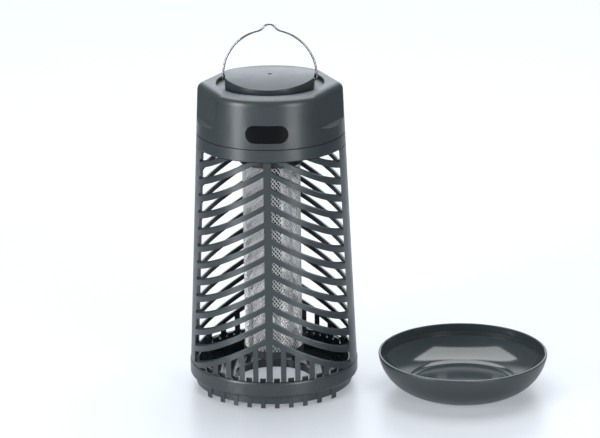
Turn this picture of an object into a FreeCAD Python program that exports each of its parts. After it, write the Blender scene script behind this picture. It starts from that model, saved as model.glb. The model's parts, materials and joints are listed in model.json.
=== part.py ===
import FreeCAD, Part
import math
import os

import Sketcher

# Free-standing electric bug zapper: a tapered cage with a chevron grille round two mesh
# electrodes and an ultraviolet lamp, a faceted head with the electronics, a wire bail to
# hang it from and a loose dish that catches what falls through the foot.
# Frame: millimetres, +Z up, z = 0 is the plane it stands on, the origin is on the axis of
# the cage, and the front, with the black window, faces -Y.

DIMENSIONS = [
    # the cone that the cage and the head share
    ("foot_radius", 74.4, "outer radius of the cage where it meets the base ring"),
    ("foot_height", 25.2, "height of the cage's foot"),
    ("cone_slope", 0.0441, "loss of radius per height"),
    ("seam_height", 233.4, "top of the cage"),
    ("seam_gap", 0.8, "open seam between cage and head"),
    # base ring
    ("base_radius", 75.0, "outer radius of the band, the same as the dish"),
    ("band_bottom", 11.6, "height of the band's lower edge"),
    ("band_top", 25.0, "height of the band's lip"),
    ("lip_radius", 73.1, "inner radius of the lip"),
    ("skirt_radius", 70.0, "outer radius of the skirt that enters the dish"),
    ("skirt_bottom", 3.8, "height of the skirt's lower edge"),
    ("base_wall", 2.2, "wall of the base ring"),
    ("channel_floor", 19.0, "floor of the channel that takes the cage"),
    ("channel_radius", 69.2, "inner radius of the channel"),
    ("collar_radius", 36.0, "outer radius of the collar round the drop hole"),
    ("drop_radius", 34.0, "radius of the drop hole"),
    ("funnel_low", 6.5, "height of the funnel at the collar"),
    ("funnel_high", 10.5, "height of the funnel at the skirt"),
    ("peg_width", 4.0, "width of a peg under the skirt"),
    ("tab_width", 5.2, "width of a tab between two slats"),
    ("tab_top", 26.6, "height of the tabs"),
    # cage
    ("cage_wall", 3.0, "wall of the cage"),
    ("hoop_bottom", 19.3, "lower edge of the hoop that stands in the channel"),
    ("hoop_radius", 72.7, "outer radius of the hoop and of the slats"),
    ("hoop_top", 23.2, "upper edge of the hoop between the slats"),
    ("ring_bottom", 222.6, "lower edge of the cage's top ring"),
    ("side_margin", 5.2, "how far the openings stay inside the cone"),
    ("post_width", 6.5, "width of the front and rear posts"),
    ("rib_base", 64.2, "height of the lowest rib's middle, drawn on to the axis"),
    ("rib_pitch", 15.0, "height from rib to rib"),
    ("rib_height", 4.8, "upright thickness of a rib"),
    ("rib_slope", 0.57, "fall of a rib per width"),
    ("slat_pitch", 12.2, "width from slat to slat"),
    ("slat_width", 4.6, "width of a slat"),
    ("lug_bottom", 224.0, "lower face of the screw lugs"),
    ("lug_inner", 49.5, "distance of a screw lug's tip from the axis"),
    ("lug_width", 9.0, "width of a screw lug"),
    # head
    ("head_top", 277.4, "plane of the rim"),
    ("head_wall", 2.4, "wall of the head shell"),
    ("shoulder", 6.5, "radius of the shoulder"),
    ("recess_radius", 47.1, "radius of the round recess in the top"),
    ("recess_floor", 274.1, "height of the recess floor"),
    ("facet_turn", 25.0, "turn of each facet's normal from the sides"),
    ("facet_top", 58.2, "distance of a facet from the axis at the top"),
    ("facet_foot", 60.8, "distance of a facet from the axis at its foot"),
    ("facet_bottom", 248.0, "height of a facet's foot"),
    ("ledge_drop", 3.0, "drop of the sloping ledge under a facet"),
    ("facet_rounding", 8.0, "radius along a facet's edges"),
    ("rim_rounding", 1.2, "radius where the rim turns into the recess"),
    ("post_radius", 3.8, "radius of the screw posts in the head"),
    ("window_width", 37.2, "width of the front window"),
    ("window_height", 15.7, "height of the front window"),
    ("window_middle", 247.3, "height of the window's middle"),
    ("window_gap", 0.15, "gap round the window"),
    ("window_depth", 2.0, "thickness of the window"),
    ("flange_margin", 1.6, "how far the window's flange reaches past its hole"),
    # boss and bail
    ("boss_radius", 40.2, "radius of the boss that carries the bail"),
    ("boss_flat", 38.6, "distance of the boss's end flats from the axis"),
    ("boss_top", 284.4, "height of the boss along its middle"),
    ("boss_edge", 280.1, "height of the boss at its front and rear"),
    ("bail_radius", 40.7, "radius of the bail's bend, to the wire's middle"),
    ("wire", 1.8, "diameter of the bail's wire"),
    ("pivot_height", 279.5, "height of the bail's pivot"),
    ("bend_height", 283.4, "height where the bail's legs start to bend"),
    ("hump_radius", 6.0, "radius of the hook hump's crown"),
    ("hump_neck", 8.0, "radius of the bends that lead into the hump"),
    ("wire_bend", 1.6, "radius of the bends at the bail's ends"),
    ("crown_height", 328.8, "height of the hump's crown, to the wire's middle"),
    ("boss_screw_place", 34.0, "distance of the boss's screws from the axis"),
    ("pivot_reach", 6.0, "depth of the bail's ends in the boss"),
    ("pivot_gap", 0.05, "running clearance round the bail's ends"),
    # electrodes and lamp
    ("grid_outer", 25.5, "outer radius of the outer electrode"),
    ("grid_inner", 18.0, "outer radius of the inner electrode"),
    ("grid_sheet", 0.6, "thickness of the electrodes' mesh"),
    ("grid_bottom", 33.0, "lower edge of the electrodes"),
    ("grid_top", 212.0, "upper edge of the electrodes"),
    ("holder_bottom", 206.5, "lower face of the grid holder"),
    ("holder_radius", 28.0, "radius of the grid holder"),
    ("spacer_bottom", 29.5, "lower face of the spacer under the electrodes"),
    ("spacer_top", 36.0, "upper face of the spacer's rings"),
    ("lamp_radius", 8.0, "outer radius of the lamp tube"),
    ("lamp_bottom", 62.0, "lower end of the lamp tube"),
    ("lamp_wall", 1.0, "wall of the lamp tube"),
    ("lamp_hole", 9.2, "radius of the holder's hub bore"),
    ("lead_radius", 0.6, "radius of the high-voltage leads"),
    # electronics
    ("deck_bottom", 228.0, "lower face of the deck"),
    ("deck_top", 230.5, "upper face of the deck"),
    ("deck_radius", 61.4, "radius of the deck"),
    ("screw_circle", 54.0, "distance of the housing screws from the axis"),
    ("screw_radius", 1.5, "radius of the housing screws"),
    ("board_bottom", 233.5, "lower face of the main board"),
    ("board_sheet", 1.6, "thickness of the boards"),
    ("cell_radius", 9.2, "radius of a battery cell"),
    ("cell_length", 65.0, "length of a battery cell"),
    ("cell_middle", 245.75, "height of the cells' axes"),
    ("cell_pitch", 19.4, "distance between the cells"),
    ("cell_place", -12.0, "y of the pair's middle"),
    ("button_height", 258.0, "height of the power button"),
    ("button_radius", 5.0, "radius of the power button"),
    ("button_face", 64.8, "y of the button's outer face"),
    ("rear_board_place", 52.0, "y of the rear board's inner face"),
    ("indicator_place", 57.5, "distance of the indicator board's front from the axis"),
    ("port_width", 9.0, "width of the charging socket"),
    ("port_sheet", 3.3, "height of the charging socket"),
    ("port_height", 243.0, "height of the charging port"),
    ("flap_width", 15.0, "width of the port's cover"),
    ("flap_height", 7.4, "height of the port's cover"),
    ("flap_sheet", 1.3, "thickness of the port's cover"),
    ("flap_face", 64.2, "y of the cover's outer face"),
    # dish
    ("dish_x", 169.0, "x of the dish"),
    ("dish_y", -12.7, "y of the dish"),
    ("dish_height", 33.0, "height of the dish"),
    ("dish_wall", 2.2, "wall of the dish"),
    ("dish_foot", 50.0, "radius of the dish's foot"),
    ("dish_bulge", 40.0, "radius of the wall's curve in section"),
    ("dish_ledge", 22.4, "height of the ledge that the skirt lands on"),
    ("dish_floor", 5.0, "height of the dish's floor inside"),
]

RIB_COUNT = 13
LED_COUNT = 8
SLAT_COUNT = 5
PEG_COUNT = 5
FRONT_AND_REAR = (-1, 1)
LEFT_AND_RIGHT = (-1, 1)
SCREW_TURNS = (10, 170, 190, 350)
SPOKE_TURNS = (45, 135, 225, 315)
HOLDER_TURNS = (60, 180, 300)

document = FreeCAD.newDocument("bug_zapper")
dims = document.addObject("Spreadsheet::Sheet", "dims")
for row, (alias, value, meaning) in enumerate(DIMENSIONS, start=1):
    dims.set(f"A{row}", meaning)
    dims.set(f"B{row}", str(value))
    dims.setAlias(f"B{row}", alias)
document.recompute()

sub_parts = []


# ---------------------------------------------------------------- drawing helpers

def number(expression):
    """Value of an expression of the sheet's cells."""
    return float(dims.evalExpression(str(expression)))


def cone(height):
    """Outer radius of the cage and head at a height, as an expression."""
    return f"(dims.foot_radius - dims.cone_slope * ({height} - dims.foot_height))"


def new_body(label):
    """A PartDesign body that becomes one sub-part."""
    body = document.addObject("PartDesign::Body", label)
    body.Label = label
    sub_parts.append(body)
    return body


def new_sketch(body, name, plane="XZ_Plane", height=None, turn=None):
    """A sketch on one of the body's own planes, raised by height or turned about Z."""
    sketch = body.newObject("Sketcher::SketchObject", name)
    support = [part for part in body.Origin.OriginFeatures if part.Role == plane][0]
    sketch.AttachmentSupport = [(support, "")]
    sketch.MapMode = "FlatFace"
    if height is not None:
        sketch.setExpression(".AttachmentOffset.Base.z", str(height))
    if turn is not None:
        about_z = FreeCAD.Rotation(FreeCAD.Vector(0, 1, 0), turn)
        sketch.AttachmentOffset = FreeCAD.Placement(FreeCAD.Vector(), about_z)
    return sketch


def point_ties(geometry, position, x, y):
    """Constraints, with their expressions, that tie a point to its coordinates."""
    ties = []
    for kind, axis, expression in (("DistanceX", -2, x), ("DistanceY", -1, y)):
        value = number(expression)
        if abs(value) < 1e-9:
            ties.append((Sketcher.Constraint("PointOnObject", geometry, position, axis), None))
        else:
            ties.append((Sketcher.Constraint(kind, -1, 1, geometry, position, value), expression))
    return ties


def radius_tie(geometry, radius):
    """Constraint, with its expression, that ties the radius of an arc or circle."""
    return Sketcher.Constraint("Radius", geometry, abs(number(radius))), f"abs({radius})"


def tie(sketch, ties):
    """Add constraints together, then bind each to its expression."""
    indices = sketch.addConstraint([constraint for constraint, _ in ties])
    for index, (_, expression) in zip(indices, ties):
        if expression is not None:
            sketch.setExpression(f"Constraints[{index}]", str(expression))


def bent_edge(start, end, radius):
    """Arc from start to end; a positive radius runs counterclockwise."""
    chord = end - start
    rise = math.sqrt(max(radius ** 2 - (chord.Length / 2) ** 2, 0))
    side = FreeCAD.Vector(-chord.y, chord.x, 0).normalize()
    middle = (start + end) * 0.5 + side * math.copysign(rise, radius)
    circle = Part.Circle(middle, FreeCAD.Vector(0, 0, 1), abs(radius))
    first, last = (start, end) if radius > 0 else (end, start)
    angles = [math.atan2(spot.y - middle.y, spot.x - middle.x) for spot in (first, last)]
    return Part.ArcOfCircle(circle, angles[0], angles[1])


def draw_edges(sketch, corners, closed):
    """Edges through corners (x, y) or (x, y, radius of the edge that follows)."""
    count = len(corners)
    spots = [FreeCAD.Vector(number(corner[0]), number(corner[1]), 0) for corner in corners]
    first = sketch.GeometryCount
    ends = []
    for index in range(count if closed else count - 1):
        start = spots[index]
        end = spots[(index + 1) % count]
        radius = number(corners[index][2]) if len(corners[index]) == 3 else 0
        edge = bent_edge(start, end, radius) if radius else Part.LineSegment(start, end)
        sketch.addGeometry(edge)
        ends.append((2, 1) if radius < 0 else (1, 2))
    ties = []
    for index, (start_point, end_point) in enumerate(ends):
        corner = corners[index]
        ties.extend(point_ties(first + index, start_point, corner[0], corner[1]))
        if len(corner) == 3:
            ties.append(radius_tie(first + index, corner[2]))
        if closed or index + 1 < len(ends):
            following = (index + 1) % len(ends)
            joint = (first + index, end_point, first + following, ends[following][0])
            ties.append((Sketcher.Constraint("Coincident", *joint), None))
        else:
            last = corners[-1]
            ties.extend(point_ties(first + index, end_point, last[0], last[1]))
    tie(sketch, ties)


def outline(sketch, corners):
    """Closed outline."""
    draw_edges(sketch, corners, closed=True)


def path(sketch, corners):
    """Open path."""
    draw_edges(sketch, corners, closed=False)


def rectangle(sketch, left, low, right, high):
    """Upright rectangle between two corners."""
    outline(sketch, [(left, low), (right, low), (right, high), (left, high)])


def disc(sketch, x, y, radius):
    """Circle round a point."""
    middle = FreeCAD.Vector(number(x), number(y), 0)
    circle = Part.Circle(middle, FreeCAD.Vector(0, 0, 1), number(radius))
    geometry = sketch.addGeometry(circle)
    tie(sketch, point_ties(geometry, 3, x, y) + [radius_tie(geometry, radius)])


def stadium(sketch, y, width, height):
    """Slot with round ends, centred on the sketch's upright axis at height y."""
    half = f"({height} / 2)"
    reach = f"(({width} - {height}) / 2)"
    first = sketch.GeometryCount
    ties = []
    for index, side in enumerate(LEFT_AND_RIGHT):
        middle = FreeCAD.Vector(side * number(reach), number(y), 0)
        circle = Part.Circle(middle, FreeCAD.Vector(0, 0, 1), number(half))
        turn = math.pi / 2 * side
        sketch.addGeometry(Part.ArcOfCircle(circle, -turn, math.pi - turn))
        ties.extend(point_ties(first + index, 3, f"{side} * {reach}", y))
        ties.append(radius_tie(first + index, half))
    for level in LEFT_AND_RIGHT:
        corners = [FreeCAD.Vector(side * number(reach), number(f"{y} + {level} * {half}"), 0)
                   for side in LEFT_AND_RIGHT]
        line = sketch.addGeometry(Part.LineSegment(*corners))
        for index, side in enumerate(LEFT_AND_RIGHT):
            arc_end = 1 if level * side < 0 else 2
            joint = (line, index + 1, first + index, arc_end)
            ties.append((Sketcher.Constraint("Coincident", *joint), None))
            ties.append((Sketcher.Constraint("Vertical", first + index, 3, line, index + 1), None))
    tie(sketch, ties)


def revolve(body, name, corners, plane="XZ_Plane", angle=360):
    """Turn a section about the upright axis, evenly to both sides of its plane."""
    sketch = new_sketch(body, f"{name}_section", plane)
    outline(sketch, corners)
    feature = body.newObject("PartDesign::Revolution", name)
    feature.Profile = sketch
    feature.ReferenceAxis = (sketch, ["V_Axis"])
    feature.Angle = angle
    feature.Midplane = angle != 360
    return feature


def pad(body, sketch, length, name, backward=False, both=False):
    """Raise a sketch into a solid."""
    feature = body.newObject("PartDesign::Pad", name)
    feature.Profile = sketch
    feature.setExpression("Length", str(length))
    feature.Reversed = backward
    feature.SideType = "Symmetric" if both else "One side"
    return feature


def pocket(body, sketch, length, name, backward=False, both=False):
    """Cut a sketch out of the body."""
    feature = body.newObject("PartDesign::Pocket", name)
    feature.Profile = sketch
    feature.setExpression("Length", str(length))
    feature.Reversed = backward
    feature.SideType = "Symmetric" if both else "One side"
    return feature


def put_at(body, x="0", y="0", z="0"):
    """Bind a sub-part's place to the sheet."""
    for axis, expression in zip("xyz", (x, y, z)):
        body.setExpression(f".Placement.Base.{axis}", str(expression))


def on_circle(radius, turn):
    """Coordinates, as expressions, of the point at an angle from +X."""
    return f"({radius} * cos({turn} deg))", f"({radius} * sin({turn} deg))"


# ---------------------------------------------------------------- cage and base

def rib_middle(index):
    """Height at which the middle line of a rib meets the axis."""
    return f"(dims.rib_base + {index} * dims.rib_pitch)"


def slope_at(middle, x):
    """Height of a chevron line at a distance from the axis."""
    return f"({middle} - dims.rib_slope * {x})"


def side_at(middle):
    """Distance from the axis at which a chevron line meets the solid side."""
    reach = f"(dims.foot_radius - dims.side_margin - dims.cone_slope * ({middle} - dims.foot_height))"
    return f"({reach} / (1 - dims.cone_slope * dims.rib_slope))"


def make_cage():
    """Tapered wall, cut straight through from front to rear into chevron ribs."""
    body = new_body("cage")
    inner_top = f"({cone('dims.ring_bottom')} - dims.cage_wall)"
    revolve(body, "wall", [
        ("dims.hoop_radius", "dims.hoop_bottom"),
        ("dims.hoop_radius", "dims.foot_height"),
        ("dims.foot_radius", "dims.foot_height"),
        (cone("dims.ring_bottom"), "dims.ring_bottom"),
        (inner_top, "dims.ring_bottom"),
        ("dims.foot_radius - dims.cage_wall", "dims.foot_height + 3"),
        ("dims.channel_radius + 0.4", "dims.foot_height"),
        ("dims.channel_radius + 0.4", "dims.hoop_bottom"),
    ])
    half_rib = "dims.rib_height / 2"
    inner = "dims.post_width / 2"
    through = "2 * dims.base_radius"
    sketch = new_sketch(body, "chevron_slots")
    for side in LEFT_AND_RIGHT:
        for index in range(RIB_COUNT):
            low = f"({rib_middle(index)} + {half_rib})"
            high = f"({rib_middle(index + 1)} - {half_rib})"
            outline(sketch, [
                (f"{side} * {inner}", slope_at(low, inner)),
                (f"{side} * {side_at(low)}", slope_at(low, side_at(low))),
                (f"{side} * {side_at(high)}", slope_at(high, side_at(high))),
                (f"{side} * {inner}", slope_at(high, inner)),
            ])
    pocket(body, sketch, through, "chevron_grille", both=True)

    low = f"({rib_middle(0)} - {half_rib})"
    foot_reach = f"(({low} - dims.hoop_top) / dims.rib_slope)"
    sketch = new_sketch(body, "slat_field")
    outline(sketch, [
        (f"-{foot_reach}", "dims.hoop_top"),
        (foot_reach, "dims.hoop_top"),
        ("0", low),
    ])
    pocket(body, sketch, through, "slat_zone", both=True)

    for index in range(SLAT_COUNT + 1):
        width = "(dims.slat_width / 2)" if index else "(dims.slat_width / 2 + 0.4)"
        middle = f"({index} * dims.slat_pitch)"
        sketch = new_sketch(body, f"slat_section_{index}", "XY_Plane", "dims.hoop_top - 1")
        for side in LEFT_AND_RIGHT if index else (1,):
            for face in FRONT_AND_REAR:
                near, far = f"({middle} - {width})", f"({middle} + {width})"
                outline(sketch, slat_corners(side, face, near, far))
        length = f"{slope_at(rib_middle(0), middle)} - dims.hoop_top + 1"
        pad(body, sketch, length, f"slat_{index}")

    revolve(body, "top_ring", [
        (inner_top, "dims.ring_bottom"),
        (f"({cone('dims.ring_bottom')} - 0.8)", "dims.ring_bottom", "1.2"),
        (cone("(dims.ring_bottom + 1)"), "dims.ring_bottom + 1"),
        (cone("dims.seam_height"), "dims.seam_height"),
        (f"({cone('dims.seam_height')} - dims.cage_wall)", "dims.seam_height"),
    ])
    sketch = new_sketch(body, "lug_section", "XY_Plane", "dims.lug_bottom")
    for turn in SCREW_TURNS:
        tongue(sketch, turn, "dims.lug_inner", f"({inner_top} + 1)", "dims.lug_width")
    pad(body, sketch, "dims.deck_bottom - dims.lug_bottom", "lugs")
    sketch = new_sketch(body, "lug_hole_outline", "XY_Plane", "dims.deck_bottom")
    post_discs(sketch, "dims.screw_radius + 0.05")
    pocket(body, sketch, "dims.deck_bottom - dims.lug_bottom + 1", "lug_holes")
    return body


def slat_corners(side, face, near, far):
    """Section of one slat between two distances from the middle, on the hoop's circle."""
    outer = "dims.hoop_radius"
    inner = "(dims.channel_radius + 0.4)"
    return [
        (f"{side} * {near}", f"{face} * sqrt({inner} ^ 2 - {near} ^ 2)"),
        (f"{side} * {far}", f"{face} * sqrt({inner} ^ 2 - {far} ^ 2)"),
        (f"{side} * {far}", f"{face} * sqrt({outer} ^ 2 - {far} ^ 2)"),
        (f"{side} * {near}", f"{face} * sqrt({outer} ^ 2 - {near} ^ 2)"),
    ]


def make_base_ring():
    """Band, skirt, funnel floor and drop collar, with the row of pegs and tabs."""
    body = new_body("base_ring")
    inner_skirt = "(dims.skirt_radius - dims.base_wall)"
    inner_channel = "(dims.channel_radius - dims.base_wall)"
    revolve(body, "ring", [
        (inner_skirt, "dims.skirt_bottom"),
        ("dims.skirt_radius", "dims.skirt_bottom"),
        ("dims.skirt_radius", "dims.band_bottom"),
        ("dims.base_radius - 1.6", "dims.band_bottom", "1.7"),
        ("dims.base_radius", "dims.band_bottom + 1.6"),
        ("dims.base_radius", "dims.band_top - 1.6"),
        ("dims.base_radius - 0.4", "dims.band_top - 0.5", "0.9"),
        ("dims.base_radius - 1.1", "dims.band_top"),
        ("dims.lip_radius", "dims.band_top"),
        ("dims.lip_radius", "dims.channel_floor"),
        ("dims.channel_radius", "dims.channel_floor"),
        ("dims.channel_radius", "dims.hoop_top"),
        (inner_channel, "dims.hoop_top"),
        (inner_channel, "dims.funnel_high + 1"),
        (f"{inner_channel} - 2.5", "dims.funnel_high"),
        ("dims.collar_radius + 0.4", "dims.funnel_low"),
        ("dims.drop_radius", "dims.funnel_low - 0.6"),
        ("dims.drop_radius", "0"),
        ("dims.collar_radius", "0"),
        ("dims.collar_radius", "dims.funnel_low - dims.base_wall"),
        (f"{inner_skirt} - 2.5", "dims.funnel_high - dims.base_wall"),
        (inner_skirt, "dims.funnel_high - dims.base_wall"),
    ])
    for name, width, low, high, inner, outer in (
            ("pegs", "dims.peg_width", "0", "dims.band_bottom + 1",
             inner_skirt, "(dims.skirt_radius + 0.6)"),
            ("tabs", "dims.tab_width", "dims.hoop_top - 4", "dims.tab_top",
             inner_channel, "(dims.channel_radius + 0.1)")):
        sketch = new_sketch(body, f"{name}_section", "XY_Plane", low)
        for index in range(PEG_COUNT):
            middle = f"(({index} + 0.5) * dims.slat_pitch)"
            near, far = f"({middle} - {width} / 2)", f"({middle} + {width} / 2)"
            for side in LEFT_AND_RIGHT:
                for face in FRONT_AND_REAR:
                    outline(sketch, [
                        (f"{side} * {near}", f"{face} * sqrt({inner} ^ 2 - {near} ^ 2)"),
                        (f"{side} * {far}", f"{face} * sqrt({inner} ^ 2 - {far} ^ 2)"),
                        (f"{side} * {far}", f"{face} * sqrt({outer} ^ 2 - {far} ^ 2)"),
                        (f"{side} * {near}", f"{face} * sqrt({outer} ^ 2 - {near} ^ 2)"),
                    ])
        pad(body, sketch, f"{high} - ({low})", name)
    return body


def make_collection_tray():
    """Round dish with a bulging wall, a foot ring and an inner ledge for the skirt."""
    body = new_body("collection_tray")
    inner_rim = "(dims.base_radius - dims.dish_wall)"
    revolve(body, "bowl", [
        ("0", "2.4"),
        ("dims.dish_foot - 8", "2.4"),
        ("dims.dish_foot - 6", "0"),
        ("dims.dish_foot - 2", "0"),
        ("dims.dish_foot", "0.8", "dims.dish_bulge"),
        ("dims.base_radius", "dims.dish_height - 2"),
        ("dims.base_radius", "dims.dish_height - 0.8", "0.8"),
        ("dims.base_radius - 0.8", "dims.dish_height"),
        (f"{inner_rim} + 0.5", "dims.dish_height"),
        (inner_rim, "dims.dish_height - 0.5"),
        (f"{inner_rim} - 0.4", "dims.dish_ledge"),
        (f"{inner_rim} - 2.2", "dims.dish_ledge", "-40"),
        ("dims.dish_foot - 2", "dims.dish_floor + 2.2", "-12"),
        ("dims.dish_foot - 8", "dims.dish_floor"),
        ("0", "dims.dish_floor"),
    ])
    put_at(body, "dims.dish_x", "dims.dish_y")
    return body


# ---------------------------------------------------------------- head

def head_form(body, inset, top):
    """Cone with four facets, drawn in by an inset, from the seam to the top."""
    foot = "(dims.seam_height + dims.seam_gap)"
    revolve(body, "cone", [
        ("0", foot),
        (f"{cone(foot)} - {inset}", foot),
        (f"{cone(top)} - {inset}", top),
        ("0", top),
    ], "YZ_Plane")
    high = "(dims.head_top + 10)"
    rise = "(dims.head_top - dims.facet_bottom)"
    lean = f"((dims.facet_foot - dims.facet_top) / {rise})"
    for index, turn in enumerate((1, -1, 1, -1)):
        sign = 1 if index < 2 else -1
        sketch = new_sketch(body, f"facet_section_{index}", turn=turn * number("dims.facet_turn"))
        outline(sketch, [
            (f"{sign} * (dims.facet_foot - {inset})", "dims.facet_bottom"),
            (f"{sign} * (dims.facet_foot + 8)", f"dims.facet_bottom - dims.ledge_drop * 8 / 4"),
            (f"{sign} * (dims.facet_foot + 8)", high),
            (f"{sign} * (dims.facet_top - {inset} - {lean} * 10)", high),
        ])
        pocket(body, sketch, "2 * dims.base_radius", f"facet_{index}", both=True)


def edges_at(body, height, radius=None):
    """Names of the body's edges that lie in a level plane, all or one circle only."""
    names = []
    for index, edge in enumerate(body.Shape.Edges, start=1):
        level = all(abs(vertex.Z - height) < 1e-6 for vertex in edge.Vertexes)
        circle = isinstance(edge.Curve, Part.Circle) and radius is not None
        if level and (radius is None or (circle and abs(edge.Curve.Radius - radius) < 1e-6)):
            names.append(f"Edge{index}")
    return names


def facet_edges(body):
    """Names of the long edges between the facets and the cone."""
    names = []
    for index, edge in enumerate(body.Shape.Edges, start=1):
        heights = [vertex.Z for vertex in edge.Vertexes]
        if min(heights) > number("dims.facet_bottom - 1") and max(heights) - min(heights) > 15:
            names.append(f"Edge{index}")
    return names


def soften(body, name, edges, radius):
    """Round edges of the body's last feature."""
    base = body.Tip
    feature = body.newObject("PartDesign::Fillet", name)
    feature.Base = (base, edges)
    feature.setExpression("Radius", str(radius))
    document.recompute()


def post_discs(sketch, radius, circle="dims.screw_circle", turns=SCREW_TURNS):
    """Discs on a circle about the axis."""
    for turn in turns:
        disc(sketch, *on_circle(circle, turn), radius)


def make_head_shell():
    """Moulded head: facets, shoulder, recessed top, window, button and port openings."""
    cavity = document.addObject("PartDesign::Body", "head_cavity")
    ceiling = "(dims.recess_floor - dims.head_wall)"
    head_form(cavity, "dims.head_wall", ceiling)
    body = new_body("head_shell")
    head_form(body, "0", "dims.head_top")
    document.recompute()
    soften(body, "facet_rounding", facet_edges(body), "dims.facet_rounding")
    soften(body, "shoulder", edges_at(body, number("dims.head_top")), "dims.shoulder")

    hollow = body.newObject("PartDesign::Boolean", "hollow")
    hollow.Type = "Cut"
    hollow.addObjects([cavity])
    body.Tip = hollow

    sketch = new_sketch(body, "recess_outline", "XY_Plane", "dims.head_top")
    disc(sketch, "0", "0", "dims.recess_radius")
    pocket(body, sketch, "dims.head_top - dims.recess_floor", "recess")
    document.recompute()
    rim_edge = edges_at(body, number("dims.head_top"), number("dims.recess_radius"))
    soften(body, "rim_rounding", rim_edge, "dims.rim_rounding")

    sketch = new_sketch(body, "post_section", "XY_Plane", "dims.deck_top")
    post_discs(sketch, "dims.post_radius")
    pad(body, sketch, f"{ceiling} - dims.deck_top + 0.5", "screw_posts")
    sketch = new_sketch(body, "port_wall_section", height="-(dims.flap_face - 4)")
    rectangle(sketch, "-(dims.flap_width / 2 + 2)", "dims.port_height - dims.flap_height / 2 - 2",
              "dims.flap_width / 2 + 2", "dims.port_height + dims.flap_height / 2 + 2")
    pad(body, sketch, "2.4", "port_wall", backward=True)

    sketch = new_sketch(body, "window_outline")
    stadium(sketch, "dims.window_middle", "dims.window_width", "dims.window_height")
    pocket(body, sketch, "dims.foot_radius", "window_hole", backward=True)
    sketch = new_sketch(body, "button_outline")
    disc(sketch, "0", "dims.button_height", "dims.button_radius + 0.3")
    pocket(body, sketch, "dims.foot_radius", "button_hole")
    sketch = new_sketch(body, "port_outline")
    stadium(sketch, "dims.port_height", "dims.port_width + 0.6", "dims.port_sheet + 0.6")
    pocket(body, sketch, "dims.foot_radius", "port_hole")
    sketch = new_sketch(body, "flap_outline", height="-(dims.flap_face - dims.flap_sheet - 0.3)")
    stadium(sketch, "dims.port_height", "dims.flap_width + 0.6", "dims.flap_height + 0.6")
    pocket(body, sketch, "10", "flap_recess")
    sketch = new_sketch(body, "pilot_section", "XY_Plane", "dims.deck_top")
    post_discs(sketch, "dims.screw_radius + 0.05")
    pocket(body, sketch, "12", "pilot_holes", backward=True)
    sketch = new_sketch(body, "boss_screw_holes", "XY_Plane", "dims.recess_floor")
    for face in FRONT_AND_REAR:
        disc(sketch, "0", f"{face} * dims.boss_screw_place", "dims.screw_radius + 0.05")
    pocket(body, sketch, "2 * dims.head_wall", "boss_screw_bores")
    return body


def make_top_boss():
    """Vaulted round boss with two end flats that carry the bail."""
    body = new_body("top_boss")
    end = "sqrt(dims.boss_radius ^ 2 - dims.boss_flat ^ 2)"
    sketch = new_sketch(body, "plan", "XY_Plane", "dims.recess_floor")
    outline(sketch, [
        ("dims.boss_flat", f"-{end}"),
        ("dims.boss_flat", end, "dims.boss_radius"),
        ("-dims.boss_flat", end),
        ("-dims.boss_flat", f"-{end}", "dims.boss_radius"),
    ])
    pad(body, sketch, "dims.boss_top - dims.recess_floor", "block")

    fall = "(dims.boss_top - dims.boss_edge)"
    vault = f"((dims.boss_radius ^ 2 + {fall} ^ 2) / (2 * {fall}))"
    reach = "(dims.boss_radius + 1)"
    edge = f"(dims.boss_top - {vault} + sqrt({vault} ^ 2 - {reach} ^ 2))"
    sketch = new_sketch(body, "vault_section", "YZ_Plane")
    outline(sketch, [
        (reach, edge, vault),
        (f"-{reach}", edge),
        (f"-{reach}", "dims.boss_top + 5"),
        (reach, "dims.boss_top + 5"),
    ])
    pocket(body, sketch, "3 * dims.boss_radius", "vault", both=True)

    sketch = new_sketch(body, "dimple_outline", "XY_Plane", "dims.boss_top")
    disc(sketch, "0", "0", "1.9")
    pocket(body, sketch, "0.6", "dimple")
    sketch = new_sketch(body, "hollow_outline", "XY_Plane", "dims.recess_floor")
    disc(sketch, "0", "0", "dims.boss_screw_place - 5")
    pocket(body, sketch, "dims.boss_edge - dims.recess_floor - 1", "hollow", backward=True)
    sketch = new_sketch(body, "screw_outline", "XY_Plane", "dims.recess_floor")
    for face in FRONT_AND_REAR:
        disc(sketch, "0", f"{face} * dims.boss_screw_place", "dims.screw_radius + 0.05")
    pocket(body, sketch, "4.5", "screw_bores", backward=True)
    for side, name in ((1, "right"), (-1, "left")):
        sketch = new_sketch(body, f"{name}_bore_outline", "YZ_Plane", f"{side} * dims.boss_flat")
        disc(sketch, "0", "dims.pivot_height", "dims.wire / 2 + dims.pivot_gap")
        pocket(body, sketch, "dims.pivot_reach + 0.4", f"{name}_bore", backward=side < 0)
    return body


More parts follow.
